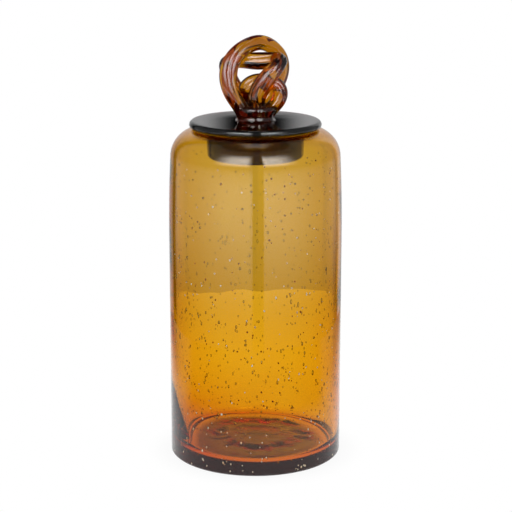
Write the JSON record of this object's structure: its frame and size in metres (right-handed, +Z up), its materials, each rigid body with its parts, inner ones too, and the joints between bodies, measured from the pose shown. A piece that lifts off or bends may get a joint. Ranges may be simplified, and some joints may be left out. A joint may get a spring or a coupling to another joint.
{
  "type": "apothecary jar",
  "caption": "Tall round-shouldered canister of seeded amber glass with a thick base and a lift-off disc lid whose knob is a knot of ridged glass cane.",
  "frame": {"origin": "middle of the base, on the surface that the jar stands on", "axes": "+Z up along the jar's axis, -Y towards the side that the knot faces"},
  "size_m": [0.152, 0.152, 0.3729],
  "materials": {
    "jar_glass": "clear amber blown glass with seeds, fire polished",
    "lid_glass": "very dark amber glass, glossy",
    "knob_glass": "deep amber drawn cane with ridges and fine cords, glossy"
  },
  "bodies": {
    "jar": {"jar_body": "jar_glass"},
    "lid": {"lid_disc": "lid_glass", "lid_collar": "lid_glass", "knob_foot": "knob_glass", "knob_outer_loop": "knob_glass", "knob_inner_strand": "knob_glass"}
  },
  "joints": [
    {"name": "lid_lift", "type": "slide", "parent": "jar", "child": "lid", "axis": [0, 0, 1], "range_m": [0, 0.14]}
  ]
}
